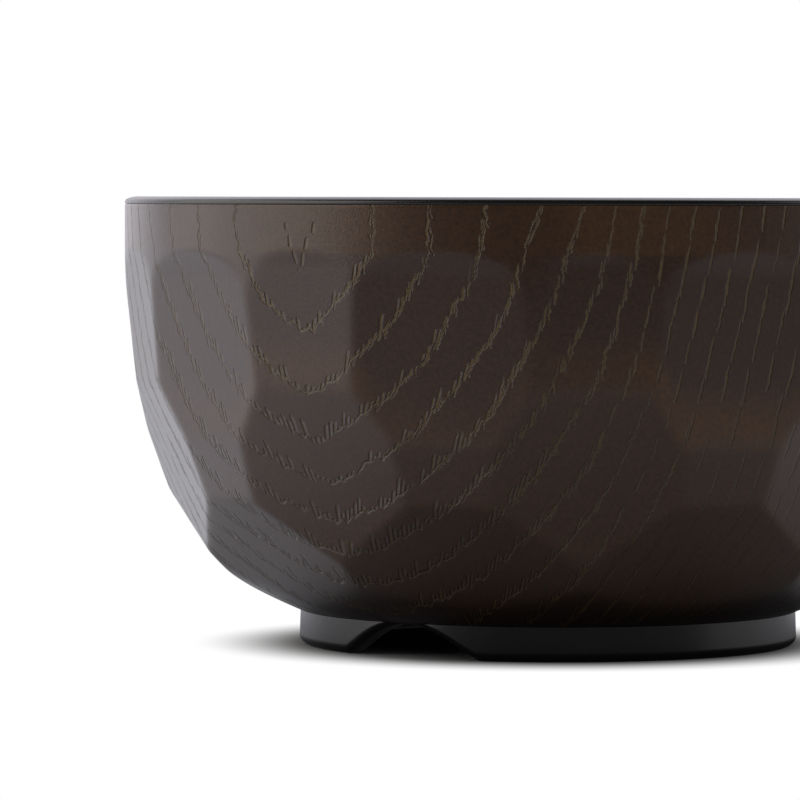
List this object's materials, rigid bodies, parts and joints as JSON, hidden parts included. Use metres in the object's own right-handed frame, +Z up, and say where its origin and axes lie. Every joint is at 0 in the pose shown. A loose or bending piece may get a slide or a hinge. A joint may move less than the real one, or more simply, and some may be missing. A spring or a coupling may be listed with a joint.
{
  "type": "draining bowl",
  "caption": "Round soup bowl with a smooth black inside and lip, a faceted wood-grain shell and a notched foot ring that lets water drain off when it stands upside down.",
  "frame": {"origin": "on the table under the bowl's axis, at the foot's contact ring", "axes": "+Z up along the bowl's axis, -Y through the middle of a narrow facet column and of a drain notch"},
  "size_m": [0.115, 0.115, 0.0605],
  "materials": {
    "black_lining": "smooth satin black coat",
    "brown_grain": "dark brown satin coat over embossed wood grain",
    "black_foot": "satin black coat"
  },
  "bodies": {
    "root": {"inner_liner": "black_lining", "outer_shell": "brown_grain", "foot_ring": "black_foot"}
  },
  "joints": []
}
